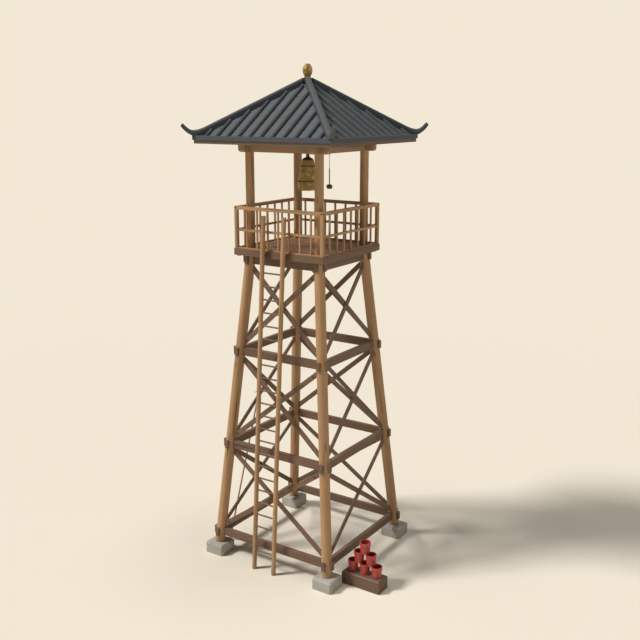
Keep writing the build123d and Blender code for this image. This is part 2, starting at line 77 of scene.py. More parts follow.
# %% Hang the cord
cord_points = [(0.59, 0, 9.668), (0.59, 0, 9.59), (0.59, 0, 9.42), (0.59, 0, 9.338)]
cord_radius = 0.006
cord_curve = bpy.data.curves.new("striking_cord", "CURVE")
cord_curve.dimensions = "3D"
cord_line = cord_curve.splines.new("NURBS")
cord_line.points.add(len(cord_points) - 1)
for point, place in zip(cord_line.points, cord_points):
    point.co = (*place, 1)
cord_line.order_u = 3
cord_line.use_endpoint_u = True
cord_line.resolution_u = 12
cord_curve.bevel_depth = cord_radius
cord_curve.bevel_resolution = 3
cord_curve.use_fill_caps = True
cord = bpy.data.objects.new("striking_cord", cord_curve)
scene.collection.objects.link(cord)
cord_x, cord_top, cord_foot = cord_points[0][0], cord_points[0][2], cord_points[-1][2]
print("cord hangs", round(cord_top - cord_foot, 3), "m")

# %% [markdown]
# ## Node helpers
# Every finish is a small node tree. These helpers add a node, do a sum, mix two colours
# and split or join a vector, so that each finish below reads as a recipe.


# %% Add nodes and sums
def add(tree, kind, inputs=None, **settings):
    """A new node; each input is a plain value or another node's output."""
    node = tree.nodes.new(kind)
    for name, value in settings.items():
        setattr(node, name, value)
    for name, value in (inputs or {}).items():
        if isinstance(value, bpy.types.NodeSocket):
            tree.links.new(value, node.inputs[name])
        else:
            node.inputs[name].default_value = value
    return node


def calc(tree, operation, *values):
    """The output of one sum."""
    return add(tree, "ShaderNodeMath", dict(enumerate(values)), operation=operation).outputs[0]


def times(tree, first, second):
    """Two values multiplied."""
    return calc(tree, "MULTIPLY", first, second)


def scaled(tree, value, by, plus):
    """A value scaled by one amount, plus another."""
    return calc(tree, "MULTIPLY_ADD", value, by, plus)


def opposite(tree, value):
    """1 less the value."""
    return calc(tree, "SUBTRACT", 1.0, value)


def step_up(tree, value, low, high):
    """0 at the low value, 1 at the high one, smooth in between."""
    inputs = {"Value": value, "From Min": low, "From Max": high}
    return add(tree, "ShaderNodeMapRange", inputs, interpolation_type="SMOOTHSTEP").outputs[0]


def mix(tree, share, first, second, mode="MIX"):
    """Two colours mixed by a share."""
    inputs = {0: share, 6: first, 7: second}
    return add(tree, "ShaderNodeMix", inputs, data_type="RGBA", blend_type=mode).outputs[2]


print("sums and mixes are ready")


# %% Split and join vectors
def split(tree, vector):
    """The three values of a vector."""
    return tuple(add(tree, "ShaderNodeSeparateXYZ", {0: vector}).outputs)


def joined(tree, *values):
    """Up to three values as one vector."""
    return add(tree, "ShaderNodeCombineXYZ", dict(enumerate(values))).outputs[0]


def choose(tree, share, first, second):
    """The first three values where the share is 0, the second three where it is 1."""
    inputs = {0: share, 4: joined(tree, *first), 5: joined(tree, *second)}
    return split(tree, add(tree, "ShaderNodeMix", inputs, data_type="VECTOR").outputs[1])


def stretched(tree, vector, across, along):
    """A vector scaled by one amount across the third axis and another along it."""
    return add(tree, "ShaderNodeMapping", {"Vector": vector, "Scale": (across, across, along)}).outputs[0]


def noise(tree, vector, scale=1.0, detail=3.0, roughness=0.5):
    """Cloudy noise from 0 to 1."""
    inputs = {"Vector": vector, "Scale": scale, "Detail": detail, "Roughness": roughness}
    return add(tree, "ShaderNodeTexNoise", inputs).outputs["Fac"]


def front_or_back(tree, x, y):
    """1 on the tower's front and back quarters, 0 on its left and right ones."""
    return calc(tree, "GREATER_THAN", calc(tree, "ABSOLUTE", y), calc(tree, "ABSOLUTE", x))


def upwardness(tree):
    """1 on a face that looks up, 0 on an upright one, -1 on one that looks down."""
    return split(tree, add(tree, "ShaderNodeNewGeometry").outputs["Normal"])[2]


print("vector helpers are ready")

# %% [markdown]
# ## Groups and materials
# A pattern that several finishes share is made once, as a group with named inputs. Every
# material starts from one bare shader and the part's own coordinates, so that all of its
# look is written in its recipe.


# %% Open and close groups
def new_group(name, inputs, outputs):
    """An empty shader group with named sockets, as (tree, its inputs, its outputs)."""
    tree = bpy.data.node_groups.new(name, "ShaderNodeTree")
    for label, kind, value in inputs:
        socket = tree.interface.new_socket(label, in_out="INPUT", socket_type="NodeSocket" + kind)
        if value is not None:
            socket.default_value = value
    for label, kind in outputs:
        tree.interface.new_socket(label, in_out="OUTPUT", socket_type="NodeSocket" + kind)
    return tree, add(tree, "NodeGroupInput").outputs, add(tree, "NodeGroupOutput")


def close_group(tree, ends, **results):
    """Wires the results to a group's outputs."""
    for name, value in results.items():
        tree.links.new(value, ends.inputs[name])
    print(tree.name, "group has", len(tree.nodes), "nodes")


def use(tree, group, **values):
    """The outputs of a group placed in a material, with its own values."""
    return add(tree, "ShaderNodeGroup", values, node_tree=group).outputs


print("group helpers are ready")


# %% Start and dress materials
def new_finish(name):
    """A material with only its main shader, as (material, tree, shader, Object coordinates)."""
    finish = bpy.data.materials.new(name)
    finish.use_nodes = True
    tree = finish.node_tree
    tree.nodes.clear()
    shader = add(tree, "ShaderNodeBsdfPrincipled")
    add(tree, "ShaderNodeOutputMaterial", {"Surface": shader.outputs[0]})
    return finish, tree, shader, add(tree, "ShaderNodeTexCoord").outputs["Object"]


def surface(tree, shader, colour, roughness, height, depth):
    """Colour, roughness and relief wired to a shader; depth is the relief in metres."""
    bump = add(tree, "ShaderNodeBump", {"Height": height, "Distance": depth, "Strength": 1.0})
    tree.links.new(colour, shader.inputs["Base Color"])
    tree.links.new(roughness, shader.inputs["Roughness"])
    tree.links.new(bump.outputs[0], shader.inputs["Normal"])


def dress(finish, *names):
    """Gives a finish to loaded parts."""
    for name in names:
        slots = parts[name].data.materials
        if not slots:
            slots.append(finish)
        for index in range(len(slots)):
            slots[index] = finish


print("material helpers are ready")

# %% [markdown]
# ## Worn edges
# Corners lose their finish first. A rounded copy of the surface normal differs from the
# true one only near an edge, so that difference, broken up with noise, is the wear mask.
# Painting masks by hand would also work, but this follows every part by itself.

# %% Edge wear group
edge_wear, given, ends = new_group(
    "edge wear",
    [("Vector", "Vector", None), ("Radius", "Float", 0.01), ("Amount", "Float", 0.5)],
    [("Wear", "Float")])
tree = edge_wear
soft_normal = add(tree, "ShaderNodeBevel", {"Radius": given["Radius"]}, samples=3).outputs[0]
true_normal = add(tree, "ShaderNodeNewGeometry").outputs["Normal"]
likeness = add(tree, "ShaderNodeVectorMath", {0: soft_normal, 1: true_normal}, operation="DOT_PRODUCT")
rubbed = step_up(tree, opposite(tree, likeness.outputs["Value"]), low=0.02, high=0.16)
patchy = step_up(tree, noise(tree, given["Vector"], scale=9.0, detail=4.0), low=0.35, high=0.65)
close_group(tree, ends, Wear=times(tree, times(tree, rubbed, patchy), given["Amount"]))

# %% [markdown]
# ## Weather
# Rain splashes soil up from the ground and dust settles on what faces the sky. One group
# gives both as a mask, from the height above the ground and the way a face looks.

# %% Weather group
weather, given, ends = new_group(
    "weather",
    [("Vector", "Vector", None), ("Splash", "Float", 0.6), ("Dust", "Float", 0.3)],
    [("Soil", "Float")])
tree = weather
height = split(tree, given["Vector"])[2]
ragged = scaled(tree, noise(tree, given["Vector"], scale=3.0, detail=5.0), by=0.5, plus=height)
near_ground = opposite(tree, step_up(tree, ragged, low=0.25, high=0.85))
on_top = step_up(tree, upwardness(tree), low=0.5, high=0.95)
cloudy = step_up(tree, noise(tree, given["Vector"], scale=6.0, detail=4.0), low=0.3, high=0.75)
dust = times(tree, times(tree, on_top, cloudy), given["Dust"])
close_group(tree, ends, Soil=calc(tree, "MAXIMUM", times(tree, near_ground, given["Splash"]), dust))

# %% [markdown]
# ## Timber grain
# The posts and beams are softwood left to the weather: long fibres, a few splits along
# them, and dark knots. The group reads a vector whose third axis runs along the grain,
# so one recipe serves every beam, however it lies.

# %% Timber grain group
KNOT = (0.035, 0.02, 0.012, 1)
knot_share, mark_share, split_depth = 0.7, 0.75, 1.5
timber_grain, given, ends = new_group(
    "timber grain",
    [("Vector", "Vector", None), ("Pale", "Color", (0.4, 0.24, 0.12, 1)),
     ("Dark", "Color", (0.2, 0.11, 0.05, 1)), ("Contrast", "Float", 0.6)],
    [("Colour", "Color"), ("Roughness", "Float"), ("Height", "Float")])
tree = timber_grain
fibre = noise(tree, stretched(tree, given["Vector"], across=60, along=2.2), detail=4.0, roughness=0.6)
band = noise(tree, stretched(tree, given["Vector"], across=9, along=0.5))
patch = noise(tree, given["Vector"], scale=0.9, detail=2.0)
lines = noise(tree, stretched(tree, given["Vector"], across=26, along=0.45), detail=1.0)
splits = step_up(tree, lines, low=0.68, high=0.72)
cells = add(tree, "ShaderNodeTexVoronoi", {
    "Vector": stretched(tree, given["Vector"], across=4.5, along=1.1), "Scale": 1.0, "Randomness": 1.0})
knots = opposite(tree, step_up(tree, cells.outputs["Distance"], low=0.07, high=0.13))
tone = calc(tree, "ADD", times(tree, fibre, 0.5), times(tree, band, 0.5))
tone = times(tree, step_up(tree, tone, low=0.35, high=0.68), given["Contrast"])
colour = mix(tree, tone, given["Pale"], given["Dark"])
colour = mix(tree, 1.0, colour, scaled(tree, patch, by=0.5, plus=0.75), "MULTIPLY")
dark_marks = calc(tree, "MAXIMUM", splits, times(tree, knots, knot_share))
colour = mix(tree, times(tree, dark_marks, mark_share), colour, KNOT)
relief = calc(tree, "SUBTRACT", fibre, times(tree, splits, split_depth))
close_group(tree, ends, Colour=colour, Roughness=scaled(tree, fibre, by=0.25, plus=0.5), Height=relief)

# %% [markdown]
# ## Which way the grain runs
# Boards and poles are sawn along the trunk, so each part's pattern is turned to run along
# it. Most parts only swap their axes. The legs and the ladder lean, so their sideways
# place is straightened first, and the crossed braces are turned to their slope.

# %% Measure the leans
foot_spread, head_spread = 1.603, 0.95
leg_lean = (foot_spread - head_spread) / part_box("leg_front_left")[1].z
ladder_low, ladder_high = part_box("ladder_rails")
ladder_rail_depth = 0.105
ladder_lean = (ladder_high.y - ladder_low.y - ladder_rail_depth) / (ladder_high.z - ladder_low.z)
brace_slope = radians(39)
print("legs lean", round(leg_lean, 4), "and the ladder", round(ladder_lean, 4))


# %% Grain directions
def along_x(tree, x, y, z):
    """Across, depth and length of a beam that lies along X."""
    return y, z, x


def along_y(tree, x, y, z):
    """The same for a beam along Y."""
    return x, z, y


def upright(tree, x, y, z):
    """The same for a post."""
    return x, y, z


def leaning_leg(tree, x, y, z):
    """The same for the four legs, which lean in towards the axis."""
    lean = times(tree, z, leg_lean)
    across, out = [scaled(tree, calc(tree, "SIGN", side), by=lean, plus=side) for side in (x, y)]
    return across, out, z


def leaning_ladder(tree, x, y, z):
    """The same for the ladder's rails, which lean back."""
    return x, scaled(tree, z, by=-ladder_lean, plus=y), z


def sloping(hand, facing):
    """The same for braces that rise one way on a pair of faces."""
    def turn(tree, x, y, z):
        across, out = (x, times(tree, y, -1.0)) if facing == "y" else (y, x)
        run = times(tree, times(tree, across, calc(tree, "SIGN", out)), float(hand))
        along = scaled(tree, run, by=cos(brace_slope), plus=times(tree, z, sin(brace_slope)))
        side = scaled(tree, run, by=-sin(brace_slope), plus=times(tree, z, cos(brace_slope)))
        return side, out, along
    return turn


def ring_of_boards(tree, x, y, z):
    """The same for four boards round a square: along X on two sides, along Y on the others."""
    return choose(tree, front_or_back(tree, x, y), along_y(tree, x, y, z), along_x(tree, x, y, z))


print("grain can follow beams, posts, legs, ladder, braces and rings")

# %% Grain of the railings
rail_low, rail_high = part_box("railing_front")
top_rail_depth, sill_depth = 0.075, 0.032
mid_rail, mid_rail_half = rail_low.z + 0.428, 0.025


def railing_side(lengthways):
    """The same for a railing: its rails lie one way and its balusters stand."""
    def turn(tree, x, y, z):
        top = calc(tree, "GREATER_THAN", z, rail_high.z - top_rail_depth)
        middle = calc(tree, "COMPARE", z, mid_rail, mid_rail_half)
        sill = calc(tree, "LESS_THAN", z, rail_low.z + sill_depth)
        lying = calc(tree, "MAXIMUM", calc(tree, "MAXIMUM", top, middle), sill)
        return choose(tree, lying, (x, y, z), lengthways(tree, x, y, z))
    return turn


print("railings are", round(rail_high.z - rail_low.z, 3), "m high")

# %% [markdown]
# ## Timber finishes
# Two tones of timber are used most. Legs, posts and rails are a warm tan. Girts, braces
# and the deck's edge are tarred a darker brown. The plates and the eave board lie in the
# roof's shade, which is painted into their tones as darker, duller timber, and the striker
# is a dark olive. The same function makes each finish, with its own grain direction.

# %% Timber recipe
TAN = {"Pale": (0.49, 0.285, 0.137, 1), "Dark": (0.315, 0.168, 0.075, 1)}
BROWN = {"Pale": (0.187, 0.108, 0.066, 1), "Dark": (0.104, 0.057, 0.035, 1)}
# The next two tones hold painted shade: the plates and the eave board lie in the roof's shade, so their
# timber is painted darker and duller.
PLATE_PAINTED_SHADE = {"Pale": (0.377, 0.231, 0.129, 1), "Dark": (0.243, 0.136, 0.071, 1)}
EAVE_PAINTED_SHADE = {"Pale": (0.143, 0.097, 0.062, 1), "Dark": (0.088, 0.056, 0.035, 1)}
OLIVE = {"Pale": (0.11, 0.085, 0.045, 1), "Dark": (0.06, 0.045, 0.025, 1)}
SPLASHED_SOIL = (0.2, 0.165, 0.12, 1)
board_shift, board_shuffle = 7.0, 3.7


def timber(name, tones, direction, contrast=0.55, splash=0.4, dust=0.1, board=None):
    """A timber finish; board names the attribute that numbers loose boards."""
    finish, tree, shader, vector = new_finish(name)
    turned = joined(tree, *direction(tree, *split(tree, vector)))
    if board:
        number = add(tree, "ShaderNodeAttribute", attribute_name=board).outputs["Fac"]
        shift = joined(tree, number, number, times(tree, number, board_shift))
        turned = add(tree, "ShaderNodeVectorMath", {0: turned, 1: shift}, operation="ADD").outputs[0]
    grain = use(tree, timber_grain, Vector=turned, Contrast=contrast, **tones)
    worn = use(tree, edge_wear, Vector=vector, Radius=0.012, Amount=0.35)["Wear"]
    soil = use(tree, weather, Vector=vector, Splash=splash, Dust=dust)["Soil"]
    colour = mix(tree, worn, grain["Colour"], tones["Pale"])
    if board:
        chance = calc(tree, "FRACT", times(tree, number, board_shuffle))
        colour = mix(tree, 1.0, colour, scaled(tree, chance, by=0.45, plus=0.75), "MULTIPLY")
    colour = mix(tree, soil, colour, SPLASHED_SOIL)
    surface(tree, shader, colour, grain["Roughness"], grain["Height"], depth=0.002)
    return finish


print("timber tones: tan, brown, plate, eave, olive")

# %% Finish the timber parts
timber_parts = {
    "leg_timber": (
        TAN, leaning_leg, ["leg_front_left", "leg_front_right", "leg_back_left", "leg_back_right"]),
    "post_timber": (TAN, upright, ["roof_posts", "railing_posts", "fire_hook_pole"]),
    "rail_timber_x": (TAN, railing_side(along_x), ["railing_front", "railing_back"]),
    "rail_timber_y": (TAN, railing_side(along_y), ["railing_left", "railing_right"]),
    "ladder_timber": (TAN, leaning_ladder, ["ladder_rails"]),
    "girt_timber_x": (BROWN, along_x, ["girts_front_back", "ladder_rungs", "ladder_cleats"]),
    "girt_timber_y": (BROWN, along_y, ["girts_left_right", "platform_joists"]),
    "brace_timber_a": (BROWN, sloping(1, "y"), ["braces_front_back_rising"]),
    "brace_timber_b": (BROWN, sloping(-1, "y"), ["braces_front_back_falling"]),
    "brace_timber_c": (BROWN, sloping(1, "x"), ["braces_left_right_rising"]),
    "brace_timber_d": (BROWN, sloping(-1, "x"), ["braces_left_right_falling"]),
    "edge_timber": (BROWN, ring_of_boards, ["platform_edge"]),
    "plate_timber_x": (PLATE_PAINTED_SHADE, along_x, ["plate_beams_front_back", "bell_beam"]),
    "plate_timber_y": (PLATE_PAINTED_SHADE, along_y, ["plate_beams_left_right"]),
    "eave_timber": (EAVE_PAINTED_SHADE, ring_of_boards, ["eave_board"]),
    "handle_timber": (OLIVE, upright, ["mallet_handle"]),
    "mallet_timber": (OLIVE, along_x, ["mallet_head"]),
}
for name, (tones, direction, names) in timber_parts.items():
    dress(timber(name, tones, direction), *names)
print("timber finishes:", len(timber_parts))

# %% [markdown]
# ## Stone footings
# Each leg stands on a block of pale dressed granite, which keeps its foot dry. Granite is
# speckled, so fine cells scatter dark and bright grains over clouds of two greys, and its
# edges are chipped paler.

# %% Stone finish
GRANITE, SHADED_GRANITE = (0.465, 0.447, 0.388, 1), (0.395, 0.377, 0.327, 1)
DARK_GRAIN, BRIGHT_GRAIN = (0.16, 0.155, 0.14, 1), (0.66, 0.65, 0.6, 1)
CHIPPED_STONE, DRY_SOIL = (0.6, 0.585, 0.53, 1), (0.3, 0.27, 0.21, 1)
dark_share, bright_share = 0.25, 0.3
stone, tree, shader, vector = new_finish("footing_stone")
fine = add(tree, "ShaderNodeTexVoronoi", {"Vector": vector, "Scale": 140.0}).outputs["Color"]
grains = add(tree, "ShaderNodeSeparateColor", {0: fine}).outputs[0]
clouds = noise(tree, vector, scale=4.0, detail=5.0)
colour = mix(tree, step_up(tree, clouds, low=0.3, high=0.7), GRANITE, SHADED_GRANITE)
dark = times(tree, step_up(tree, grains, low=0.75, high=0.95), dark_share)
bright = times(tree, step_up(tree, grains, low=0.2, high=0.05), bright_share)
colour = mix(tree, bright, mix(tree, dark, colour, DARK_GRAIN), BRIGHT_GRAIN)
worn = use(tree, edge_wear, Vector=vector, Radius=0.015, Amount=0.5)["Wear"]
colour = mix(tree, worn, colour, CHIPPED_STONE)
squeezed = stretched(tree, vector, across=1, along=3)
soil = use(tree, weather, Vector=squeezed, Splash=0.14, Dust=0.06)["Soil"]
colour = mix(tree, soil, colour, DRY_SOIL)
pits = scaled(tree, grains, by=0.3, plus=noise(tree, vector, scale=30.0, detail=6.0))
surface(tree, shader, colour, scaled(tree, clouds, by=0.2, plus=0.7), pits, depth=0.004)
dress(stone, "footings")
print("stone finish has", len(tree.nodes), "nodes")

# %% [markdown]
# ## Roof tiles
# The roof is unglazed grey tile: flat pans in courses, round cover tiles in ribs over
# their joints, and tall ridge tiles on the hips that end in horns. Every slope climbs
# evenly, so height alone places the joints. One group varies the grey from tile to tile.

# %% Measure the roof
roof_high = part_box("roof_front_back")[1]
foot_inset, top_out = 0.118, 0.085
roof_rise, roof_run = 1.17, 1.719
course_count, rib_pitch = 8, 0.298
foot_out, slope = roof_high.y - foot_inset, roof_rise / roof_run
foot_z = roof_high.z - slope * (foot_out - top_out)
course_rise = slope * (foot_out - top_out) / course_count
first_joint = foot_z + 0.002
print("courses rise", round(course_rise, 3), "m each")

# %% Tile group
PALE_SPECK, RAIN_STREAK = (0.19, 0.2, 0.2, 1), (0.06, 0.062, 0.06, 1)
speck_share, streak_share = 0.35, 0.2
tile_shade, given, ends = new_group(
    "tile shade", [("Vector", "Vector", None), ("Grey", "Color", (0.12, 0.126, 0.13, 1))],
    [("Colour", "Color"), ("Roughness", "Float"), ("Height", "Float"), ("Joint", "Float")])
tree = tile_shade
x, y, z = split(tree, given["Vector"])
front = front_or_back(tree, x, y)
across = calc(tree, "ADD", times(tree, x, front), times(tree, y, opposite(tree, front)))
course = calc(tree, "DIVIDE", calc(tree, "SUBTRACT", z, first_joint), course_rise)
column = calc(tree, "FLOOR", calc(tree, "DIVIDE", across, rib_pitch))
face = scaled(tree, front, by=5.0, plus=calc(tree, "SIGN", calc(tree, "ADD", x, y)))
tile = joined(tree, column, calc(tree, "FLOOR", course), face)
chance = add(tree, "ShaderNodeTexWhiteNoise", {"Vector": tile}, noise_dimensions="3D").outputs["Value"]
mottle = noise(tree, given["Vector"], scale=7.0, detail=6.0, roughness=0.65)
speck = noise(tree, given["Vector"], scale=55.0)
streak = noise(tree, stretched(tree, given["Vector"], across=14, along=1.5))
shade = scaled(tree, mottle, by=0.35, plus=scaled(tree, chance, by=0.09, plus=0.84))
colour = mix(tree, 1.0, given["Grey"], shade, "MULTIPLY")
specks = times(tree, step_up(tree, speck, low=0.62, high=0.75), speck_share)
streaks = times(tree, step_up(tree, streak, low=0.55, high=0.8), streak_share)
colour = mix(tree, streaks, mix(tree, specks, colour, PALE_SPECK), RAIN_STREAK)
part_way = calc(tree, "FRACT", course)
from_joint = calc(tree, "MINIMUM", part_way, opposite(tree, part_way))
joint = opposite(tree, step_up(tree, from_joint, low=0.02, high=0.05))
rough = scaled(tree, mottle, by=0.25, plus=0.6)
relief = scaled(tree, speck, by=0.3, plus=mottle)
close_group(tree, ends, Colour=colour, Roughness=rough, Height=relief, Joint=joint)

# %% [markdown]
# ## Finishes of the roof
# Pans, ribs and ridges share the group above. The ribs are darker than the pans, and they
# add a dark ring at each joint. Upright faces, such as the edge at the eave, get painted
# shade: they are made darker and bluer than faces that look up.

# %% Roof finishes
RUBBED_TILE, JOINT_SHADOW = (0.2, 0.205, 0.2, 1), (0.03, 0.031, 0.032, 1)
tile_relief, tile_shine = 0.3, 0.25


def tiles(name, grey, ring=0.0, edge=None):
    """A tile finish; ring is how deep the joints cut, and edge darkens the upright faces as painted shade."""
    finish, tree, shader, vector = new_finish(name)
    made = use(tree, tile_shade, Vector=vector, Grey=grey)
    worn = use(tree, edge_wear, Vector=vector, Radius=0.01, Amount=0.4)["Wear"]
    colour = mix(tree, worn, made["Colour"], RUBBED_TILE)
    dark_ring = times(tree, made["Joint"], ring)
    colour = mix(tree, dark_ring, colour, JOINT_SHADOW)
    # Painted shade: faces that stand upright are made darker and bluer than those that look up.
    if edge:
        level = step_up(tree, calc(tree, "ABSOLUTE", upwardness(tree)), low=0.2, high=0.5)
        colour = mix(tree, opposite(tree, level), colour, edge, "MULTIPLY")
    height = calc(tree, "SUBTRACT", times(tree, made["Height"], tile_relief), dark_ring)
    surface(tree, shader, colour, made["Roughness"], height, depth=0.004)
    shader.inputs["Specular IOR Level"].default_value = tile_shine
    return finish


slope_tiles = tiles("slope_tiles", (0.1, 0.11, 0.117, 1), edge=(0.8, 0.82, 0.93, 1))
rib_tiles = tiles("rib_tiles", (0.056, 0.061, 0.065, 1), ring=0.2)
ridge_tiles = tiles("ridge_tiles", (0.08, 0.087, 0.093, 1), edge=(0.86, 0.9, 1.0, 1))
dress(slope_tiles, "roof_front_back", "roof_left_right")
dress(rib_tiles, "roof_ribs_front_back", "roof_ribs_left_right")
dress(ridge_tiles, "hip_ridges", "finial_base")
print("roof finishes: slopes, ribs, ridges")

# %% [markdown]
# ## Metals
# The finial is gilt brass gone dull. The bell is bronze that has turned a golden brown;
# its dome and bands are painted darker as shade. The fittings are forged iron with rust.
# Each is the same idea: a clean metal, a tarnish that is rougher and less metallic, and
# noise to share them out.

# %% Metal recipe
# Painted shade: the bell's dome, bands and studs are darkened towards this colour.
BELL_PAINTED_SHADE = (0.07, 0.032, 0.008, 1)
painted_shade_share, pits_per_cloud = 0.8, 12


def metal(name, clean, tarnish, share, roughness, scale=9.0, painted_shade=None):
    """A metal finish; share is how much is tarnished, and the last argument gives a mask of places painted
    dark as shade.
    """
    finish, tree, shader, vector = new_finish(name)
    clouds = noise(tree, vector, scale, detail=6.0, roughness=0.6)
    dull = step_up(tree, clouds, low=0.75 - share, high=0.95 - share)
    worn = use(tree, edge_wear, Vector=vector, Radius=0.008, Amount=0.6)["Wear"]
    dull = times(tree, dull, opposite(tree, worn))
    colour = mix(tree, dull, clean, tarnish)
    pits = noise(tree, vector, scale * pits_per_cloud, detail=4.0)
    if painted_shade:
        # Painted shade: the mask darkens the colour towards a deep brown.
        dark = times(tree, painted_shade(tree, *split(tree, vector)), painted_shade_share)
        colour = mix(tree, dark, colour, BELL_PAINTED_SHADE)
    tree.links.new(scaled(tree, dull, by=-0.45, plus=0.8), shader.inputs["Metallic"])
    rough = scaled(tree, dull, by=0.25, plus=scaled(tree, pits, by=0.12, plus=roughness))
    surface(tree, shader, colour, rough, pits, depth=0.001)
    return finish


print("metal recipe is ready")


# %% Painted shade on the bell
def painted_bell_shade(tree, x, y, z):
    """1 where shade is painted on the bell: its two bands, its studs and its dome, by their heights above its
    mouth.
    """
    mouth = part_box("bell")[0].z
    wall_radius, band_half, stud_half = 0.1895, 0.014, 0.019
    lower_at, studs_at, upper_at, dome_at, dome_full = 0.205, 0.43, 0.545, 0.655, 0.7
    out = calc(tree, "SQRT", calc(tree, "ADD", times(tree, x, x), times(tree, y, y)))
    upper = calc(tree, "COMPARE", z, mouth + upper_at, band_half)
    lower = calc(tree, "COMPARE", z, mouth + lower_at, band_half)
    row = calc(tree, "COMPARE", z, mouth + studs_at, stud_half)
    stud = times(tree, row, calc(tree, "GREATER_THAN", out, wall_radius))
    dome = step_up(tree, z, mouth + dome_at, mouth + dome_full)
    return calc(tree, "MAXIMUM", calc(tree, "MAXIMUM", upper, lower), calc(tree, "MAXIMUM", stud, dome))


print("bell has dark bands, studs and dome")

# %% Finish the metal parts
gilt = metal("dull_gilt", clean=(0.42, 0.27, 0.085, 1), tarnish=(0.2, 0.123, 0.047, 1),
             share=0.35, roughness=0.38)
bronze = metal("bell_bronze", clean=(0.475, 0.327, 0.104, 1), tarnish=(0.365, 0.246, 0.084, 1),
               share=0.4, roughness=0.42, painted_shade=painted_bell_shade)
iron = metal("forged_iron", clean=(0.09, 0.088, 0.085, 1), tarnish=(0.09, 0.045, 0.025, 1),
             share=0.35, roughness=0.5, scale=24.0)
dress(gilt, "finial")
dress(bronze, "bell")
dress(iron, "bell_bracket", "bell_pin", "striker_bracket", "striker_pin", "striker_eye", "fire_hook_head")
print("metal finishes: gilt, bronze, iron")

# %% [markdown]
# ## Red buckets
# Fire buckets are painted red outside and in. The paint is chipped on the rims, and soil
# has splashed up the lowest row. A little coat gives the gloss of old enamel paint. The
# bench under them is a plain dark timber.

# %% Bucket paint
RED, FADED_RED = (0.48, 0.056, 0.039, 1), (0.37, 0.038, 0.028, 1)
BARE_METAL, RED_SOIL = (0.13, 0.07, 0.055, 1), (0.3, 0.2, 0.15, 1)
bare_share, coat_weight = 0.7, 0.15
BENCH = {"Pale": (0.15, 0.083, 0.051, 1), "Dark": (0.1, 0.054, 0.033, 1)}
paint, tree, shader, vector = new_finish("bucket_paint")
clouds = noise(tree, vector, scale=11.0, detail=5.0)
colour = mix(tree, step_up(tree, clouds, low=0.3, high=0.75), RED, FADED_RED)
chips = step_up(tree, noise(tree, vector, scale=60.0, detail=4.0), low=0.7, high=0.73)
worn = use(tree, edge_wear, Vector=vector, Radius=0.006, Amount=0.8)["Wear"]
bare = calc(tree, "MAXIMUM", chips, step_up(tree, worn, low=0.35, high=0.6))
colour = mix(tree, times(tree, bare, bare_share), colour, BARE_METAL)
soil = use(tree, weather, Vector=vector, Splash=0.12, Dust=0.06)["Soil"]
colour = mix(tree, soil, colour, RED_SOIL)
rough = scaled(tree, clouds, by=0.2, plus=0.35)
surface(tree, shader, colour, rough, calc(tree, "SUBTRACT", clouds, bare), depth=0.0008)
shader.inputs["Coat Roughness"].default_value = 0.3
tree.links.new(times(tree, opposite(tree, bare), coat_weight), shader.inputs["Coat Weight"])
dress(paint, "buckets_bottom_row", "buckets_middle_row", "bucket_top")
dress(timber("bench_timber", BENCH, along_x, splash=0.1, dust=0.02), "bucket_bench")
print("buckets painted, bench finished")

# %% [markdown]
# ## Makers
# Boards, bolts, pegs and tile courses repeat, so Geometry Nodes make them from a few
# named sizes. A maker runs once on a start mesh, and its result is kept as a plain mesh.


# %% Maker helpers
def new_maker(name, sizes):
    """An empty maker with named sizes, as (tree, its inputs, its output node)."""
    tree = bpy.data.node_groups.new(name, "GeometryNodeTree")
    tree.interface.new_socket("Geometry", in_out="INPUT", socket_type="NodeSocketGeometry")
    for label, kind, value in sizes:
        socket = tree.interface.new_socket(label, in_out="INPUT", socket_type="NodeSocket" + kind)
        if value is not None:
            socket.default_value = value
    tree.interface.new_socket("Geometry", in_out="OUTPUT", socket_type="NodeSocketGeometry")
    return tree, add(tree, "NodeGroupInput").outputs, add(tree, "NodeGroupOutput")


def close_maker(tree, given, ends, geometry):
    """Ends a maker: instances made real, and its finish set."""
    real = add(tree, "GeometryNodeRealizeInstances", {"Geometry": geometry}).outputs[0]
    finished = add(tree, "GeometryNodeSetMaterial", {"Geometry": real, "Material": given["Finish"]})
    tree.links.new(finished.outputs[0], ends.inputs[0])


def run_maker(tree, name, body, slot, start=None, **sizes):
    """Runs a maker and keeps the result as a plain mesh that rides on a body."""
    made = bpy.data.objects.new(name, start or bpy.data.meshes.new(name + "_start"))
    scene.collection.objects.link(made)
    modifier = made.modifiers.new("maker", "NODES")
    modifier.node_group = tree
    for item in tree.interface.items_tree:
        label = item.name.replace(" ", "_").lower()
        if item.in_out == "INPUT" and label in sizes:
            modifier[item.identifier] = sizes[label]
    ready = made.evaluated_get(bpy.context.evaluated_depsgraph_get())
    mesh = bpy.data.meshes.new_from_object(ready)
    made.modifiers.remove(modifier)
    made.data = mesh
    mesh.name = name
    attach(made, body)
    print(name, "has", len(mesh.polygons), "faces")
    return made


print("maker helpers are ready")


# %% Marks for small pieces
def marks(name, places):
    """A start mesh of points, each with the way that it faces as an attribute."""
    mesh = bpy.data.meshes.new(name)
    mesh.from_pydata([place for place, way in places], [], [])
    outward = mesh.attributes.new("outward", "FLOAT_VECTOR", "POINT")
    outward.data.foreach_set("vector", [value for place, way in places for value in way])
    return mesh


def set_on_marks(tree, given, piece, size=(1, 1, 1)):
    """The piece on every mark, turned to face the mark's way."""
    way = add(tree, "GeometryNodeInputNamedAttribute", {"Name": "outward"}, data_type="FLOAT_VECTOR")
    turned = add(tree, "FunctionNodeAlignRotationToVector", {"Vector": way.outputs[0]}, axis="Z").outputs[0]
    return add(tree, "GeometryNodeInstanceOnPoints", {
        "Points": given["Geometry"], "Instance": piece, "Rotation": turned, "Scale": size}).outputs[0]


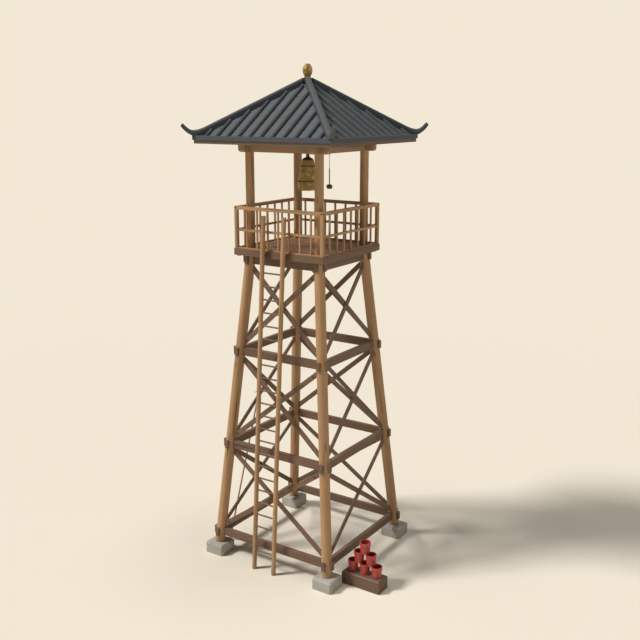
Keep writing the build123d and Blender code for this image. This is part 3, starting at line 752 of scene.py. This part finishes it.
def round_the_tower(place, way):
    """The same mark on all four faces."""
    found = []
    for turn in range(4):
        c, s = round(cos(turn * pi / 2)), round(sin(turn * pi / 2))
        found.append(((place[0] * c - place[1] * s, place[0] * s + place[1] * c, place[2]),
                      (way[0] * c - way[1] * s, way[0] * s + way[1] * c, way[2])))
    return found


print("mark helpers are ready")

# %% [markdown]
# ## Deck boards
# The deck is laid with sawn boards over the joists, with narrow gaps for the rain. They
# could be boxes in a row, but a rounded section swept along a line gives each board its
# eased edges. Each board gets a number, which shifts its grain and its tone.

# %% Deck board maker
boards, given, ends = new_maker("deck boards", [
    ("Count", "Int", 16), ("Length", "Float", 2.34), ("Width", "Float", 0.14), ("Pitch", "Float", 0.146),
    ("Thickness", "Float", 0.038), ("Ease", "Float", 0.004), ("Low Corner", "Vector", None),
    ("Seed", "Int", 4), ("Finish", "Material", None)])
tree = boards
half = times(tree, given["Length"], 0.5)
line = add(tree, "GeometryNodeCurvePrimitiveLine", {
    "Start": joined(tree, times(tree, half, -1.0)), "End": joined(tree, half)}).outputs[0]
section = add(tree, "GeometryNodeCurvePrimitiveQuadrilateral", {
    "Width": given["Width"], "Height": given["Thickness"]}).outputs[0]
section = add(tree, "GeometryNodeFilletCurve", {
    "Curve": section, "Radius": given["Ease"], "Count": 2}, mode="POLY").outputs[0]
board = add(tree, "GeometryNodeCurveToMesh", {
    "Curve": line, "Profile Curve": section, "Fill Caps": True}).outputs[0]
row = add(tree, "GeometryNodeMeshLine", {
    "Count": given["Count"], "Start Location": given["Low Corner"],
    "Offset": joined(tree, 0.0, given["Pitch"])}).outputs[0]
jitter = add(tree, "FunctionNodeRandomValue", {
    "Min": (-0.004, -0.001, -0.0012), "Max": (0.004, 0.001, 0), "Seed": given["Seed"]},
    data_type="FLOAT_VECTOR").outputs[0]
row = add(tree, "GeometryNodeSetPosition", {"Geometry": row, "Offset": jitter}).outputs[0]
laid = add(tree, "GeometryNodeInstanceOnPoints", {"Points": row, "Instance": board}).outputs[0]
number = add(tree, "FunctionNodeRandomValue", {
    "Min": 0.0, "Max": 9.0, "Seed": given["Seed"]}, data_type="FLOAT").outputs[1]
laid = add(tree, "GeometryNodeStoreNamedAttribute", {
    "Geometry": laid, "Name": "board", "Value": number}, domain="INSTANCE").outputs[0]
close_maker(tree, given, ends, laid)
print("deck board maker has", len(tree.nodes), "nodes")

# %% Lay the deck
DECK = {"Pale": (0.4, 0.205, 0.1, 1), "Dark": (0.225, 0.113, 0.055, 1)}
board_count, board_thickness, board_gap, end_gap, below_top = 16, 0.036, 0.006, 0.01, 0.0005
deck_low, deck_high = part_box("platform_deck")
deck_finish = timber("deck_timber", DECK, along_x, contrast=0.7, dust=0.03, board="board")
pitch = (deck_high.y - deck_low.y) / board_count
deck = run_maker(
    boards, "deck_boards", "tower", "dark_timber", count=board_count, pitch=pitch, width=pitch - board_gap,
    length=deck_high.x - deck_low.x - end_gap, thickness=board_thickness, ease=0.004, seed=4,
    low_corner=(0, deck_low.y + pitch / 2, deck_high.z - board_thickness / 2 - below_top), finish=deck_finish)
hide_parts("platform_deck")

# %% [markdown]
# ## Tile courses
# Each slope is laid in eight courses that overlap, so its section is a saw with shallow
# teeth. The teeth follow a rule, so one grid is bent into that saw and squeezed to the
# hips on both sides, and four copies are turned round the tower's axis. Each course has
# two rows of the grid: its lip in front, and its back just short of the next lip.

# %% Tile course maker
# Rows count up from just under the first lip, a hair past whole numbers, so they round down.
row_nudge, back_reach = 0.99, 0.999
courses, given, ends = new_maker("tile courses", [
    ("Courses", "Int", 8), ("Foot", "Float", 1.719), ("Top", "Float", 0.085), ("Foot Height", "Float", 10.0),
    ("Slope", "Float", 0.68), ("Lip", "Float", 0.003), ("Finish", "Material", None)])
tree = courses
rows = scaled(tree, given["Courses"], by=2.0, plus=1.0)
grid = add(tree, "GeometryNodeMeshGrid", {
    "Size X": 2.0, "Size Y": calc(tree, "SUBTRACT", rows, 1.0),
    "Vertices X": 3, "Vertices Y": rows}).outputs[0]
share, along = split(tree, add(tree, "GeometryNodeInputPosition").outputs[0])[:2]
order = calc(tree, "SUBTRACT", calc(tree, "ADD", along, given["Courses"]), row_nudge)
tooth = calc(tree, "FLOOR", calc(tree, "DIVIDE", order, 2.0))
back = calc(tree, "FLOOR", calc(tree, "SUBTRACT", order, times(tree, tooth, 2.0)))
reach = calc(tree, "DIVIDE", calc(tree, "SUBTRACT", given["Foot"], given["Top"]), given["Courses"])
inward = times(tree, scaled(tree, back, by=back_reach, plus=tooth), reach)
out = calc(tree, "SUBTRACT", given["Foot"], inward)
rise = scaled(tree, inward, by=given["Slope"], plus=given["Foot Height"])
rise = scaled(tree, opposite(tree, back), by=given["Lip"], plus=rise)
bent = joined(tree, times(tree, share, out), times(tree, out, -1.0), rise)
slope_mesh = add(tree, "GeometryNodeSetPosition", {"Geometry": grid, "Position": bent}).outputs[0]
turns = add(tree, "GeometryNodeMeshLine", {"Count": 4, "Offset": (0, 0, 0)}).outputs[0]
quarter = times(tree, add(tree, "GeometryNodeInputIndex").outputs[0], pi / 2)
slopes = add(tree, "GeometryNodeInstanceOnPoints", {
    "Points": turns, "Instance": slope_mesh, "Rotation": joined(tree, 0.0, 0.0, quarter)}).outputs[0]
close_maker(tree, given, ends, slopes)
print("tile course maker has", len(tree.nodes), "nodes")

# %% Lay the courses
clear_of_slab = 0.0005
run_maker(
    courses, "tile_courses", "tower", "roof_tile", courses=course_count, foot=foot_out, top=top_out,
    foot_height=foot_z + clear_of_slab, slope=slope, lip=0.003, finish=slope_tiles)

# %% [markdown]
# ## Bolts
# Iron bolts hold the braces where they cross and at their ends, and pin the corners of
# the railing. A bolt is a washer and a six-sided head. One maker sets a bolt on each mark
# and turns it to face the way the mark faces.

# %% Bolt maker
bolts, given, ends = new_maker("bolts", [
    ("Head", "Float", 0.02), ("Washer", "Float", 0.034), ("Stand", "Float", 0.014),
    ("Finish", "Material", None)])
tree = bolts
washer = add(tree, "GeometryNodeMeshCylinder", {
    "Vertices": 14, "Radius": given["Washer"], "Depth": times(tree, given["Stand"], 0.6)}).outputs[0]
head = add(tree, "GeometryNodeMeshCylinder", {
    "Vertices": 6, "Radius": given["Head"], "Depth": times(tree, given["Stand"], 2.0)}).outputs[0]
bolt = add(tree, "GeometryNodeJoinGeometry")
for piece in (washer, head):
    tree.links.new(piece, bolt.inputs[0])
close_maker(tree, given, ends, set_on_marks(tree, given, bolt.outputs[0]))
print("bolt maker has", len(tree.nodes), "nodes")

# %% Mark the bolts
girt_levels = [0.545, 2.805, 5.1, 7.27]
brace_inset, brace_face, brace_ends = 0.11, 0.027, (0.085, 0.915)
rail_corner, rail_half = 1.1675, 0.0375


def spread(height):
    """How far the legs' axes stand from the tower's axis."""
    return foot_spread - leg_lean * height


def brace_mark(side, height):
    """Marks on the braces of all four faces."""
    return round_the_tower((side, -spread(height) - brace_face, height), (0, -1, leg_lean))


brace_marks = []
for below, above in zip(girt_levels, girt_levels[1:]):
    low, high = below + brace_inset, above - brace_inset
    wide, narrow = spread(low), spread(high)
    brace_marks += brace_mark(0, low + (high - low) * wide / (wide + narrow))
    for end in brace_ends:
        brace_marks += brace_mark(-wide + (wide + narrow) * end, low + (high - low) * end)
rail_marks = []
for hand in (-1, 1):
    rail_marks += round_the_tower(
        (hand * rail_corner, -rail_corner - rail_half, rail_high.z - rail_half), (0, -1, 0))
print("bolts to drive:", len(brace_marks) + len(rail_marks))

# %% Drive the bolts
run_maker(bolts, "brace_bolts", "tower", "iron", start=marks("brace_marks", brace_marks),
          head=0.017, washer=0.03, stand=0.01, finish=iron)
run_maker(bolts, "rail_bolts", "tower", "iron", start=marks("rail_marks", rail_marks),
          head=0.014, washer=0.022, stand=0.006, finish=iron)

# %% [markdown]
# ## Pegs
# Where the plates cross over a post, a round oak peg locks the joint, and its dark end
# shows on the outer face. A squashed sphere, half sunk, is enough for a worn peg end.

# %% Drive the pegs
PEG = {"Pale": (0.16, 0.08, 0.04, 1), "Dark": (0.08, 0.04, 0.02, 1)}
peg_line = 0.94
pegs, given, ends = new_maker("pegs", [
    ("Radius", "Float", 0.04), ("Stand", "Float", 0.01), ("Finish", "Material", None)])
tree = pegs
ball = add(tree, "GeometryNodeMeshUVSphere", {"Segments": 20, "Rings": 10, "Radius": 1.0}).outputs[0]
size = joined(tree, given["Radius"], given["Radius"], given["Stand"])
close_maker(tree, given, ends, set_on_marks(tree, given, ball, size))
plate_low, plate_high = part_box("plate_beams_front_back")
peg_marks = []
for hand in (-1, 1):
    peg_marks += round_the_tower((hand * peg_line, plate_low.y, (plate_low.z + plate_high.z) / 2), (0, -1, 0))
run_maker(pegs, "plate_pegs", "tower", "dark_timber", start=marks("peg_marks", peg_marks),
          radius=0.042, stand=0.012, finish=timber("peg_timber", PEG, along_y))

# %% [markdown]
# ## Straw cord
# The cord is three twisted strands of straw. The twist is a pattern that winds round the
# cord as it climbs: the angle round its axis plus the height, repeated three times.

# %% Finish the cord
STRAW_GROOVE_SHADE, STRAW, FRAYED = (0.24, 0.15, 0.07, 1), (0.7, 0.5, 0.24, 1), (0.5, 0.36, 0.18, 1)
twist, strand_count, fray_share = 260.0, 3.0, 0.5
straw, tree, shader, vector = new_finish("straw_cord")
x, y, z = split(tree, vector)
angle = calc(tree, "ARCTAN2", y, calc(tree, "SUBTRACT", x, cord_x))
winding = scaled(tree, z, by=twist, plus=times(tree, angle, strand_count))
strand = calc(tree, "ABSOLUTE", calc(tree, "SINE", times(tree, winding, 0.5)))
fray = noise(tree, stretched(tree, vector, across=900, along=200))
# Painted shade: the grooves between the strands are coloured dark.
colour = mix(tree, strand, STRAW_GROOVE_SHADE, STRAW)
colour = mix(tree, times(tree, fray, fray_share), colour, FRAYED)
surface(tree, shader, colour, scaled(tree, fray, by=0.2, plus=0.75), strand, depth=0.0015)
cord_curve.materials.append(straw)
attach(cord, "striker")
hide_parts("striker_cord")
print("straw finish has", len(tree.nodes), "nodes")

# %% [markdown]
# ## Whippings
# Thin twine is wound tight round both ends of the cord, where it meets the iron eye and
# the mallet's handle. A close spiral swept with a small round section makes one whipping.

# %% Wind the whippings
whip, given, ends = new_maker("whipping", [
    ("Turns", "Float", 6.0), ("Radius", "Float", 0.0075), ("Twine", "Float", 0.0022),
    ("Pitch", "Float", 0.0042), ("Low", "Vector", None), ("Finish", "Material", None)])
tree = whip
spiral = add(tree, "GeometryNodeCurveSpiral", {
    "Resolution": 20, "Rotations": given["Turns"], "Start Radius": given["Radius"],
    "End Radius": given["Radius"], "Height": times(tree, given["Turns"], given["Pitch"])}).outputs[0]
twine = add(tree, "GeometryNodeCurvePrimitiveCircle", {
    "Resolution": 8, "Radius": given["Twine"]}, mode="RADIUS").outputs[0]
wound = add(tree, "GeometryNodeCurveToMesh", {
    "Curve": spiral, "Profile Curve": twine, "Fill Caps": True}).outputs[0]
moved = add(tree, "GeometryNodeTransform", {"Geometry": wound, "Translation": given["Low"]}).outputs[0]
close_maker(tree, given, ends, moved)
upper_low, lower_low = cord_top - 0.03, cord_foot + 0.004
for name, low in (("upper_whipping", upper_low), ("lower_whipping", lower_low)):
    run_maker(
        whip, name, "striker", "straw_cord", turns=6.0, radius=0.0072, twine=0.0022, pitch=0.0042,
        low=(cord_x, 0, low), finish=straw)

# %% [markdown]
# ## Floor and background
# The tower stands on a pale cream floor that runs into a background of the same cream.
# Near the tower the floor is an ordinary surface, so it keeps the shadow. Far out it
# fades to plain cream, which hides the horizon.

# %% Lay the floor
CREAM = (0.888, 0.807, 0.665, 1)
floor_reach, fade_start, fade_end = 150, 12.0, 32.0
floor = bpy.data.objects.new("floor", bpy.data.meshes.new("floor"))
corners = [(x * floor_reach, y * floor_reach, 0) for x, y in ((-1, -1), (1, -1), (1, 1), (-1, 1))]
floor.data.from_pydata(corners, [], [(0, 1, 2, 3)])
scene.collection.objects.link(floor)
print("floor reaches", floor_reach, "m each way")

# %% Finish the floor
cream, tree, shader, vector = new_finish("cream_floor")
shader.inputs["Base Color"].default_value = CREAM
shader.inputs["Roughness"].default_value = 0.9
shader.inputs["Specular IOR Level"].default_value = 0.1
distance = add(tree, "ShaderNodeVectorMath", {0: vector}, operation="LENGTH").outputs["Value"]
far = step_up(tree, distance, low=fade_start, high=fade_end)


def seen(tree):
    """1 for what the camera, a reflection or glass sees, 0 for light that falls on things."""
    path = add(tree, "ShaderNodeLightPath").outputs
    either = calc(tree, "MAXIMUM", path["Is Camera Ray"], path["Is Glossy Ray"])
    return calc(tree, "MAXIMUM", either, path["Is Transmission Ray"])


plain = add(tree, "ShaderNodeEmission", {"Color": CREAM, "Strength": 1.0}).outputs[0]
fade = times(tree, far, seen(tree))
both = add(tree, "ShaderNodeMixShader", {0: fade, 1: shader.outputs[0], 2: plain}).outputs[0]
tree.links.new(both, tree.nodes["Material Output"].inputs[0])
floor.data.materials.append(cream)
print("floor fades out between", fade_start, "and", fade_end, "m")

# %% Hang the background
world = bpy.data.worlds.new("studio")
scene.world = world
world.use_nodes = True
tree = world.node_tree
tree.nodes.clear()
ambient = add(tree, "ShaderNodeBackground", {"Color": (1.0, 0.98, 0.95, 1), "Strength": 0.02}).outputs[0]
backdrop = add(tree, "ShaderNodeBackground", {"Color": CREAM, "Strength": 1.0}).outputs[0]
both = add(tree, "ShaderNodeMixShader", {0: seen(tree), 1: ambient, 2: backdrop}).outputs[0]
add(tree, "ShaderNodeOutputWorld", {"Surface": both})
print("background set")

# %% [markdown]
# ## Light
# One soft lamp stands high on the left, like a studio window, and throws the long shadow
# to the right. Two weaker lamps carry on above it, one higher and one overhead, so the
# shadow starts at the tower's foot. A weak low lamp on the right keeps that side from
# going black.


# %% Light the tower
def lamp(name, towards, strength, softness):
    """A far lamp that shines along a direction; softness is its width in degrees."""
    light = bpy.data.lights.new(name, "SUN")
    light.energy = strength
    light.angle = radians(softness)
    holder = bpy.data.objects.new(name, light)
    holder.rotation_euler = Vector(towards).to_track_quat("-Z", "Y").to_euler()
    scene.collection.objects.link(holder)
    print(name, "shines at strength", strength)


lamp("key_lamp", (0.49, 0.44, -0.755), strength=2.6, softness=12)
lamp("high_lamp", (0.25, 0.22, -0.94), strength=0.4, softness=18)
lamp("top_lamp", (-0.1, -0.13, -1.0), strength=0.65, softness=22)
lamp("side_lamp", (-0.93, 0.2, -0.2), strength=0.28, softness=40)
